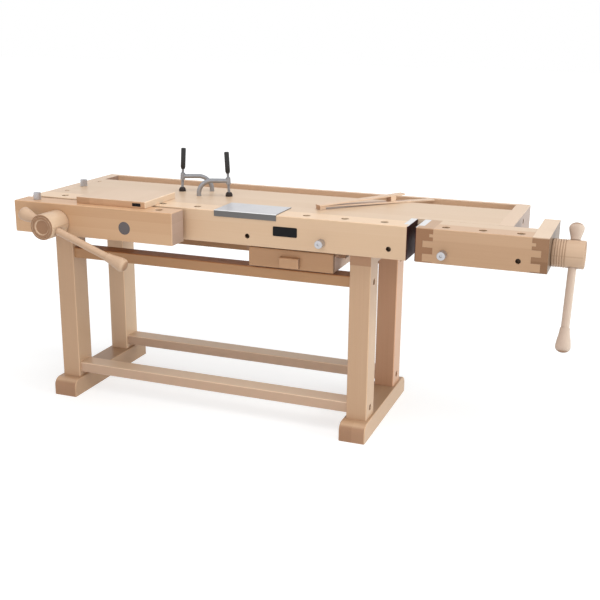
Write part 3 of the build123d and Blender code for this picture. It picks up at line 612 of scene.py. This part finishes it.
# The drawer sides are a paler copy of the drawer's beech, painted light where they sit in shade under the
# slab.
painted_lit_drawer_side_beech = {**drawer_beech, "pale": (0.86, 0.69, 0.57, 1), "deep": (0.70, 0.50, 0.38, 1)}
for node in ("drawer_front", "drawer_back", "drawer_handle"):
    dress_beech(node, along_x, (1, 1), drawer_beech)
dress_beech("drawer_sides", along_y, (1, 1), painted_lit_drawer_side_beech)
dress_beech("drawer_runners", along_y)
dress_beech("drawer_bottom", along_x, (3, 1), top_beech)

# Front vise
# A thick beech jaw on a screw and a steel guide rod. A turned hub on the screw carries the bar.
# The nuts of both vises' screws are dressed here too.
jaw_beech = {"pale": (0.72, 0.47, 0.29, 1), "deep": (0.57, 0.33, 0.18, 1), "end": (0.47, 0.33, 0.265, 1)}
hub_beech = {"pale": (0.65, 0.475, 0.335, 1), "deep": (0.54, 0.365, 0.24, 1), "end": (0.46, 0.275, 0.17, 1)}
bar_beech = {"pale": (0.58, 0.405, 0.28, 1), "deep": (0.48, 0.31, 0.20, 1), "end": (0.40, 0.245, 0.155, 1)}
ground_steel = brushed_metal("Ground steel", (0.62, 0.61, 0.63, 1), 0.40)
jaw_climb = 0.22
thread_pitch = 0.006
thread_depth = 0.0025
thread_rows = 8
thread_sides = 28
merge_distance = 0.00001
collar_reach = 0.006
collar_width = 0.010
hub_bar_offset = 0.076
hub_round = 0.004
hub_ring = (0.041, 0.045)
hub_ring_depth = 0.003
hub_ring_slope = 0.001
hub_dish = 0.032
hub_dish_depth = 0.006
hub_dish_slope = 0.004
groove_flank = 0.35
bar_radius = 0.015
near_knob_lengths = {"front": 0.082, "tail": 0.064}
far_knob_length = 0.090
knob_neck = 0.018
knob_wide = 0.0275
knob_crown = 0.020
bar_clearance = 0.0003
flare_steps = 12
crown_steps = 8


def screw_thread():
    """A tree that winds a trapezoid thread round the Z axis from a grid, closed at both ends."""
    tree, given, result = new_tree("Screw Thread", [
        ("Length", "Float"), ("Pitch", "Float"), ("Core", "Float"), ("Crest", "Float"), ("Rows", "Int"),
        ("Finish", "Material")])
    grid = add(tree, "GeometryNodeMeshGrid", 1.0, 1.0, given["Rows"], thread_sides + 1).outputs["Mesh"]
    flat = parted(tree, tree.nodes.new("GeometryNodeInputPosition").outputs[0])
    last = maths(tree, "SUBTRACT", given["Rows"], 1.0)
    row = maths(tree, "MULTIPLY", maths(tree, "ADD", flat[0], 0.5), last)
    turn = maths(tree, "SUBTRACT", 0.5, flat[1])
    share = maths(tree, "DIVIDE", maths(tree, "SUBTRACT", row, 1.0), maths(tree, "SUBTRACT", last, 2.0))
    share = maths(tree, "MINIMUM", maths(tree, "MAXIMUM", share, 0.0), 1.0)
    height = maths(tree, "MULTIPLY", share, given["Length"])
    turns = maths(tree, "DIVIDE", height, given["Pitch"])
    phase = maths(tree, "FRACT", maths(tree, "SUBTRACT", turns, turn))
    flank = maths(tree, "ABSOLUTE", maths(tree, "SUBTRACT", phase, 0.5))
    flank = maths(tree, "MULTIPLY_ADD", flank, 4.0, -0.5)
    flank = maths(tree, "MINIMUM", maths(tree, "MAXIMUM", flank, 0.0), 1.0)
    near_end = maths(tree, "MINIMUM", height, maths(tree, "SUBTRACT", given["Length"], height))
    runout = maths(tree, "MINIMUM", maths(tree, "DIVIDE", near_end, given["Pitch"]), 1.0)
    rise = maths(tree, "MULTIPLY", maths(tree, "SUBTRACT", given["Crest"], given["Core"]), flank)
    radius = maths(tree, "MULTIPLY_ADD", rise, runout, given["Core"])
    inner = maths(tree, "MULTIPLY", maths(tree, "GREATER_THAN", row, 0.5),
                  maths(tree, "LESS_THAN", row, maths(tree, "SUBTRACT", last, 0.5)))
    radius = maths(tree, "MULTIPLY", radius, inner)
    angle = maths(tree, "MULTIPLY", turn, 2 * math.pi)
    wound = add(tree, "ShaderNodeCombineXYZ", maths(tree, "MULTIPLY", radius, maths(tree, "COSINE", angle)),
                maths(tree, "MULTIPLY", radius, maths(tree, "SINE", angle)), height).outputs[0]
    shape = add(tree, "GeometryNodeSetPosition", grid, None, wound)
    closed = add(tree, "GeometryNodeMergeByDistance", shape.outputs[0])
    closed.inputs["Distance"].default_value = merge_distance
    smooth = add(tree, "GeometryNodeSetShadeSmooth", closed.outputs[0])
    whole = add(tree, "GeometryNodeRealizeInstances", smooth.outputs[0])
    dressed = add(tree, "GeometryNodeSetMaterial", whole.outputs[0], None, given["Finish"])
    tree.links.new(dressed.outputs[0], result["Geometry"])
    return tree


def aimed(place, way):
    """A place whose Z axis runs along a direction."""
    return Matrix.Translation(place) @ way.to_track_quat("Z", "Y").to_matrix().to_4x4()


def threaded(name, place, length, pitch, radius, depth, finish):
    """A threaded rod that starts at a place and runs along its Z axis."""
    settings = {"Length": length, "Pitch": pitch, "Core": radius - depth, "Crest": radius,
                "Rows": int(length / pitch * thread_rows) + 3, "Finish": finish}
    rod = grown(name, thread_tree, settings)
    rod.data.transform(place)
    return rod


def reach(node, start, way):
    """How far a CAD node runs before and past a point, along a direction."""
    spans = [(vertex.co - start).dot(way) for vertex in nodes[node].data.vertices]
    return min(spans), max(spans)


def vise_screw(name, jaw_face, way):
    """A vise's screw: a journal with a collar in its jaw, and a thread that runs inwards from the jaw."""
    screw = f"{name}_screw"
    low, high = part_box(screw)
    middle = (low + high) / 2
    start = middle + way * (way.dot(jaw_face) - way.dot(middle))
    place = aimed(start, way)
    outward, inward = reach(screw, start, way)
    collar = min(high - low) / 2
    radius = collar - collar_reach
    profile = [(0, outward), (radius, outward), (radius, -collar_width), (collar, -collar_width),
               (collar, 0), (0, 0)]
    journal = revolved(f"{name}_journal", profile, place, ground_steel)
    fit(journal, screw, "steel", screw)
    thread = threaded(f"{name}_thread", place, inward, thread_pitch, radius, thread_depth, ground_steel)
    fit(thread, screw, "steel", screw)


def bored(piece, cutter):
    """Takes a cutter's shape out of a piece."""
    cut = piece.modifiers.new("bore", "BOOLEAN")
    cut.object = cutter
    cut.solver = "EXACT"
    keep_result(piece)
    bpy.data.objects.remove(cutter)


def vise_hub(name, way, bar_way, colours, grooves=()):
    """A turned wooden hub with a ring and a dish in its face, grooves round it, and the hole for the bar."""
    low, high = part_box(f"{name}_hub")
    middle = (low + high) / 2
    back, front = reach(f"{name}_hub", middle, way)
    radius = (high.z - low.z) / 2
    chamfer = 0.3 * hub_round
    profile = [(0, back), (radius - hub_round, back), (radius - chamfer, back + chamfer),
               (radius, back + hub_round)]
    for start, width, depth in grooves:
        inset = groove_flank * width
        profile += [(radius, back + start), (radius - depth, back + start + inset),
                    (radius - depth, back + start + width - inset), (radius, back + start + width)]
    profile += [(radius, front - hub_round), (radius - chamfer, front - chamfer), (radius - hub_round, front),
                (hub_ring[1], front), (hub_ring[1] - hub_ring_slope, front - hub_ring_depth),
                (hub_ring[0] + hub_ring_slope, front - hub_ring_depth), (hub_ring[0], front),
                (hub_dish, front), (hub_dish - hub_dish_slope, front - 0.8 * hub_dish_depth),
                (hub_dish / 2, front - hub_dish_depth), (0, front - hub_dish_depth)]
    wood = beech(f"{name}_hub", low, high, way, (1, 1), colours)
    hub = revolved(f"{name}_turned_hub", profile, aimed(middle, way), wood, 72)
    bar_centre = middle + way * (back + hub_bar_offset)
    hole_radius = bar_radius + bar_clearance
    length = 2 * radius
    hole = [(0, -length), (hole_radius, -length), (hole_radius, length), (0, length)]
    bored(hub, revolved("bar_hole", hole, aimed(bar_centre, bar_way), wood))
    fit(hub, f"{name}_screw", "beech_turned", f"{name}_hub")
    return bar_centre


def knob_profile(length):
    """The outline of a bell-shaped bar end with a slim neck, a slow flare and a domed end."""
    profile = [(0, 0)]
    flare_length = length - knob_crown
    for step in range(flare_steps + 1):
        share = step / flare_steps
        swell = share * share * (3 - 2 * share)
        profile.append((knob_neck + (knob_wide - knob_neck) * swell, share * flare_length))
    for step in range(1, crown_steps):
        angle = math.pi / 2 * step / crown_steps
        profile.append((knob_wide * math.cos(angle), flare_length + knob_crown * math.sin(angle)))
    profile.append((0, length))
    return profile


def vise_knobs(name, centre, way, colours):
    """Both ends of a vise's bar: one against the hub and a longer one at the far end."""
    wood = beech(f"{name}_knobs", *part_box(f"{name}_knobs"), way, (1, 1), colours)
    near, far = reach(f"{name}_knobs", centre, way)
    ends = (("near", near, -way, near_knob_lengths[name]), ("far", far, way, far_knob_length))
    for label, tip, outward, length in ends:
        neck = centre + way * tip - outward * length
        piece = revolved(f"{name}_{label}_knob", knob_profile(length), aimed(neck, outward), wood)
        fit(piece, f"{name}_bar", "beech_turned", f"{name}_knobs")


thread_tree = screw_thread()
dress_beech("front_jaw", along_x, (1, 3), jaw_beech, jaw_climb, True)
for node in ("front_guide_rod", "vise_nuts"):
    dress(node, dark_steel)
front_bar_way = -Vector(joints["front_bar_slide"]["axis"])
vise_screw("front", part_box("front_jaw")[1], along_y)
front_bar_centre = vise_hub("front", -along_y, front_bar_way, hub_beech)
dress_beech("front_bar", front_bar_way, (1, 1), bar_beech)
vise_knobs("front", front_bar_centre, front_bar_way, bar_beech)

# Tail vise
# A front board finger-jointed to a jaw block and to an end block, whose long arm runs behind the top's end.
tail_beech = {"pale": (0.60, 0.385, 0.24, 1), "deep": (0.47, 0.28, 0.16, 1), "end": (0.32, 0.17, 0.092, 1)}
# The end block's upright faces are painted dark as painted shade, and its top paler and cooler as painted
# light.
end_block_beech = {"pale": (0.73, 0.53, 0.365, 1), "deep": (0.68, 0.475, 0.32, 1),
                   "end": (0.36, 0.21, 0.125, 1), "sides": (0.28, 0.255, 0.25, 1),
                   "tops": (1.04, 1.10, 1.18, 1)}
tail_bar_beech = {**bar_beech, "pale": (0.58, 0.45, 0.365, 1), "deep": (0.49, 0.36, 0.28, 1)}
board_climb = -0.18
groove_count = 5
groove_start = 0.010
groove_pitch = 0.009
groove_width = 0.0032
groove_depth = 0.0022
dress_beech("tail_front_board", along_x, (1, 3), tail_beech, board_climb, True)
dress_beech("tail_jaw_block", along_y, (1, 1), tail_beech)
dress_beech("tail_end_block", along_y, (1, 3), end_block_beech)
unpolished("tail_end_block")
dress_beech("tail_cover", along_x, (1, 1), top_beech)
dress_beech("tail_nut_block", along_y)
dress("tail_guide_rod", ground_steel)
hub_grooves = [(groove_start + groove_pitch * index, groove_width, groove_depth)
               for index in range(groove_count)]
tail_bar_way = -Vector(joints["tail_bar_slide"]["axis"])
vise_screw("tail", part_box("tail_end_block")[0], -along_x)
tail_bar_centre = vise_hub("tail", along_x, tail_bar_way, bar_beech, hub_grooves)
dress_beech("tail_bar", tail_bar_way, (1, 1), tail_bar_beech)
vise_knobs("tail", tail_bar_centre, tail_bar_way, tail_bar_beech)

# Edge plate
# A steel sheet laid over the apron's edge, folded down at the front.
# Its top is polished by use, its lip is painted darker as painted shade, and its fold carries a painted
# highlight.
fold_radius = 0.005
end_view = Matrix(((0, 0, 1, 0), (1, 0, 0, 0), (0, 1, 0, 0), (0, 0, 0, 1)))


def arc(centre, radius, start, end, steps=8):
    """Points on an arc between two angles in degrees."""
    angles = [math.radians(start + (end - start) * step / steps) for step in range(steps + 1)]
    return [(centre[0] + radius * math.cos(angle), centre[1] + radius * math.sin(angle)) for angle in angles]


# The sheet's lip is painted darker as painted shade, and its fold is painted bright as a painted highlight.
sheet_steel = steel_with_painted_light("Sheet steel", (0.66, 0.65, 0.67, 1), (0.14, 0.138, 0.135, 1), 0.24)
sheet_low, sheet_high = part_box("edge_plate")
sheet_t = sheet_high.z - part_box("main_top")[1].z
fold = (sheet_low.y + fold_radius, sheet_high.z - fold_radius)
sheet_outline = [(sheet_high.y, sheet_high.z), *arc(fold, fold_radius, 90, 180),
                 (sheet_low.y, sheet_low.z), (sheet_low.y + sheet_t, sheet_low.z),
                 *arc(fold, fold_radius - sheet_t, 180, 90), (sheet_high.y, sheet_high.z - sheet_t)]
sheet = extruded("folded_sheet", sheet_outline, sheet_low.x, sheet_high.x, end_view, sheet_steel)
fit(sheet, "edge_plate", "steel", "edge_plate")

# Small board
# A thick beech board glued from five short staves that run front to back.
# Its front edge has a bare black label.
board_beech = {"pale": (0.81, 0.61, 0.45, 1), "deep": (0.72, 0.52, 0.36, 1), "end": (0.60, 0.38, 0.235, 1)}
label_size = (0.038, 0.013)
label_middle = 0.278
label_rise = 0.0004
label_sink = 0.0002
dress_beech("bench_board", along_y, (5, 1), board_beech)
board_low, board_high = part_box("bench_board")
label_low = (board_low.x + label_middle - label_size[0] / 2,
             (board_low.z + board_high.z - label_size[1]) / 2)
label_high = (label_low[0] + label_size[0], label_low[1] + label_size[1])
black_plate_on("board_label", label_low, label_high,
               board_low.y - label_rise, board_low.y + label_sink, "bench_board")

# Steel dogs and face pegs
# Turned steel stops for the holes in the jaw, the top and the front faces.
# Each has a chamfered head with a centre mark.
shank_radius = 0.0097
head_chamfer = 0.0015
head_lengths = {"dog_jaw": 0.030, "dog_top": 0.030, "peg_apron": 0.035, "peg_tail": 0.035}
dog_mark = 0.003
peg_mark = 0.0055
mark_slope = 0.001
mark_depth = 0.0035
mark_tip = 0.0045


def steel_stop(node, way, mark_radius):
    """A dog or peg whose head stands out of its hole along a direction."""
    low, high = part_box(node)
    middle = (low + high) / 2
    radius = min(high - low) / 2
    inner, outer = reach(node, middle, way)
    seat = outer - head_lengths[node]
    profile = [(0, inner), (shank_radius - head_chamfer, inner), (shank_radius, inner + head_chamfer),
               (shank_radius, seat), (radius - head_chamfer / 2, seat), (radius, seat + head_chamfer / 2),
               (radius, outer - head_chamfer), (radius - head_chamfer, outer), (mark_radius, outer),
               (mark_radius - mark_slope, outer - mark_depth), (0, outer - mark_tip)]
    fit(revolved(f"{node}_turned", profile, aimed(middle, way), ground_steel), node, "steel", node)


for node in ("dog_jaw", "dog_top"):
    steel_stop(node, along_z, dog_mark)
for node in ("peg_apron", "peg_tail"):
    steel_stop(node, -along_y, peg_mark)

# Bench hooks
# Two thin beech laths, each with a small block glued under one end, laid across each other.
hook_beech = {"pale": (0.70, 0.51, 0.37, 1), "deep": (0.58, 0.39, 0.265, 1), "end": (0.60, 0.39, 0.26, 1)}
hook_grain = Vector((0.66, 0.75, 0))
dress_beech("bench_hooks", hook_grain, (1, 1), hook_beech)
unpolished("bench_hooks")

# Hold-downs
# Plated bent arms that grip in the bench holes.
# A fine-threaded spindle with a black grip presses a dark pad down.
spindle_pitch = 0.003
spindle_radius = 0.006
spindle_depth = 0.0009
grip_height = 0.091
grip_radius = 0.0105
grip_neck = 0.0075
grip_taper = 0.008
grip_round = 0.003
grip_shoulder = 0.001
rod_overlap = 0.004
plating_gloss = (0.35, 0.35, 0.38, 1)
plated = brushed_metal("Plated steel", (0.47, 0.475, 0.50, 1), 0.40, (60, 60, 300))
plated.node_tree.nodes["Principled BSDF"].inputs["Specular Tint"].default_value = plating_gloss
rubber = brushed_metal("Dark rubber", (0.022, 0.014, 0.012, 1), 0.55, (300, 300, 300), 0.0)
grip_plastic = brushed_metal("Black grip", (0.013, 0.012, 0.012, 1), 0.30, (200, 200, 200), 0.0)
for side in ("left", "right"):
    name = f"hold_down_{side}"
    dress(f"{name}_arm", plated)
    dress(f"{name}_pad", rubber)
    turning = joints[f"{name}_spindle_turn"]
    pivot, way = Vector(turning["pos_m"]), Vector(turning["axis"])
    foot, top = reach(f"{name}_spindle", pivot, way)
    grip_start = top - grip_height
    rod = threaded(f"{name}_rod", aimed(pivot + way * foot, way), grip_start + rod_overlap - foot,
                   spindle_pitch, spindle_radius, spindle_depth, plated)
    fit(rod, f"{name}_spindle", "chrome", f"{name}_spindle")
    profile = [(0, grip_start), (grip_neck, grip_start), (grip_radius, grip_start + grip_taper),
               (grip_radius, top - grip_round), (grip_radius - grip_shoulder, top - grip_shoulder),
               (grip_radius - grip_round, top), (0, top)]
    grip = revolved(f"{name}_grip", profile, aimed(pivot, way), grip_plastic, 36)
    fit(grip, f"{name}_spindle", "black_rubber", f"{name}_spindle")

# Studio
# A white floor and room, with a large soft lamp overhead, one at the right and a fainter one in front.
# The bench doesn't mirror the lamps, so pale faces keep their colour from every side.
floor_reach = 30.0
floor_white = (0.8, 0.8, 0.8, 1)
shadow_grey = (0.5, 0.5, 0.5, 1)
glow_reach = (1.6, 5.0)
glow_range = (0.66, 1.0)
sky_level = 0.41


def seen_directly(tree):
    """One for rays that reach a surface from the camera, a gloss or a glass, and zero for the rest."""
    rays = tree.nodes.new("ShaderNodeLightPath").outputs
    seen = maths(tree, "ADD", rays["Is Camera Ray"], rays["Is Glossy Ray"])
    seen = maths(tree, "ADD", seen, rays["Is Transmission Ray"])
    return maths(tree, "MINIMUM", seen, 1.0)


world = bpy.data.worlds.new("White room")
bpy.context.scene.world = world
world.use_nodes = True
room = world.node_tree
strength = maths(room, "MULTIPLY_ADD", seen_directly(room), 1.0 - sky_level, sky_level)
room.nodes["Background"].inputs["Color"].default_value = (1, 1, 1, 1)
room.links.new(strength, room.nodes["Background"].inputs["Strength"])

floor_mesh = bpy.data.meshes.new("floor")
corners = [(-floor_reach, -floor_reach, 0), (floor_reach, -floor_reach, 0),
           (floor_reach, floor_reach, 0), (-floor_reach, floor_reach, 0)]
floor_mesh.from_pydata(corners, [], [(0, 1, 2, 3)])
floor = bpy.data.objects.new("floor", floor_mesh)
bpy.context.scene.collection.objects.link(floor)
floor_material, floor_tree, floor_shader = new_material("White floor")
floor_shader.inputs["Base Color"].default_value = floor_white
floor_shader.inputs["Roughness"].default_value = 0.9
spot = floor_tree.nodes.new("ShaderNodeTexCoord").outputs["Object"]
away = add(floor_tree, "ShaderNodeVectorMath", spot, operation="LENGTH").outputs["Value"]
glow_level = ramp(floor_tree, away, *glow_reach, *glow_range)
glow = add(floor_tree, "ShaderNodeEmission", (1, 1, 1, 1), glow_level)
shade = add(floor_tree, "ShaderNodeBsdfDiffuse", shadow_grey)
white = add(floor_tree, "ShaderNodeAddShader", glow.outputs[0], shade.outputs[0])
choice = add(floor_tree, "ShaderNodeMixShader", seen_directly(floor_tree), floor_shader.outputs[0],
             white.outputs[0])
floor_tree.links.new(choice.outputs[0], floor_tree.nodes["Material Output"].inputs["Surface"])
floor_mesh.materials.append(floor_material)


def soft_lamp(name, place, aim, size, power, colour=(1, 1, 1)):
    """A square area lamp that points at a place on the bench and isn't mirrored in it."""
    lamp = bpy.data.lights.new(name, "AREA")
    lamp.shape = "SQUARE"
    lamp.size = size
    lamp.energy = power
    lamp.color = colour
    made = bpy.data.objects.new(name, lamp)
    made.location = place
    made.rotation_euler = (Vector(aim) - Vector(place)).to_track_quat("-Z", "Y").to_euler()
    made.visible_glossy = False
    bpy.context.scene.collection.objects.link(made)


soft_lamp("overhead_lamp", (0.2, -0.8, 4.2), (0.0, 0.0, 0.8), 3.5, 92)
soft_lamp("right_lamp", (9.0, 0.3, 1.6), (0.2, 0.0, 0.6), 6.0, 880, (0.85, 0.97, 1.0))
soft_lamp("front_lamp", (0.5, -8.0, 2.4), (-0.2, 0.0, 0.6), 5.0, 225)

camera_place = Vector((1.34477, -3.56954, 1.62927))
camera_yaw = math.radians(20.4557)
camera_pitch = math.radians(-16.3557)
camera_roll = math.radians(0.5993)
photo_width = 600
focal_pixels = 957.3
camera_data = bpy.data.cameras.new("camera")
camera_data.sensor_width = 36.0
camera_data.sensor_fit = "HORIZONTAL"
camera_data.lens = focal_pixels / photo_width * camera_data.sensor_width
camera = bpy.data.objects.new("camera", camera_data)
turn = Matrix.Rotation(camera_yaw, 4, "Z") @ Matrix.Rotation(math.pi / 2 + camera_pitch, 4, "X")
camera.matrix_world = Matrix.Translation(camera_place) @ turn @ Matrix.Rotation(camera_roll, 4, "Z")
bpy.context.scene.collection.objects.link(camera)
bpy.context.scene.camera = camera
bpy.context.scene.view_settings.view_transform = "Standard"
